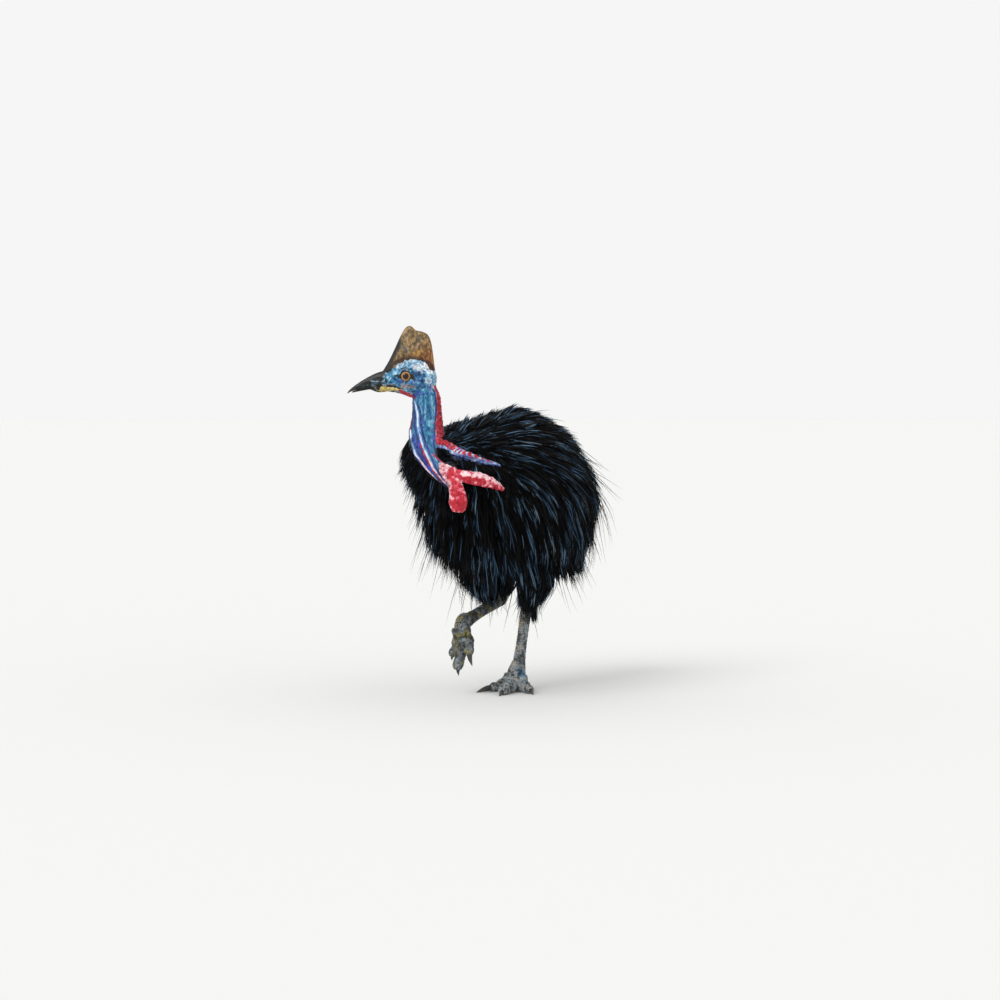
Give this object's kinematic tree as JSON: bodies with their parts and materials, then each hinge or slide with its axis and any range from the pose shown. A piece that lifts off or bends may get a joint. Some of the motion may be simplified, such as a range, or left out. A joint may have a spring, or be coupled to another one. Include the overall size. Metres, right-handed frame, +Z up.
{
  "type": "cassowary",
  "caption": "Life-size still model of a southern cassowary walking, with one foot lifted and the head turned to its right.",
  "frame": {"origin": "on the floor, under the middle of the standing left foot", "axes": "+Z up; the body faces -Y and the bird's left side is +X; the head is turned 45 degrees to the bird's right"},
  "size_m": [0.6306, 1.1314, 1.4438],
  "materials": {
    "plumage": "long hairlike black feathers",
    "blue_skin": "bare blue skin, finely wrinkled",
    "red_skin": "bare red skin, granular",
    "leg_skin": "scaly grey-brown skin",
    "casque_horn": "mottled brown keratin",
    "bill_horn": "smooth black keratin",
    "claw_horn": "dark keratin",
    "eye": "wet, clear over an amber iris"
  },
  "bodies": {
    "root": {"head": "blue_skin", "neck_upper": "blue_skin", "neck_lower": "blue_skin", "shoulder_skin_left": "blue_skin", "shoulder_skin_right": "blue_skin", "wattle_left": "red_skin", "wattle_right": "red_skin", "casque": "casque_horn", "bill_upper": "bill_horn", "bill_lower": "bill_horn", "eye_left": "eye", "eye_right": "eye", "trunk": "plumage", "tail": "plumage", "wing_left": "plumage", "wing_right": "plumage", "thigh_left": "plumage", "thigh_right": "plumage", "shank_left": "leg_skin", "shank_right": "leg_skin", "tarsus_left": "leg_skin", "tarsus_right": "leg_skin", "foot_left": "leg_skin", "foot_right": "leg_skin", "toe_inner_left": "leg_skin", "toe_middle_left": "leg_skin", "toe_outer_left": "leg_skin", "toe_inner_right": "leg_skin", "toe_middle_right": "leg_skin", "toe_outer_right": "leg_skin", "claw_inner_left": "claw_horn", "claw_middle_left": "claw_horn", "claw_outer_left": "claw_horn", "claw_inner_right": "claw_horn", "claw_middle_right": "claw_horn", "claw_outer_right": "claw_horn"}
  },
  "joints": []
}
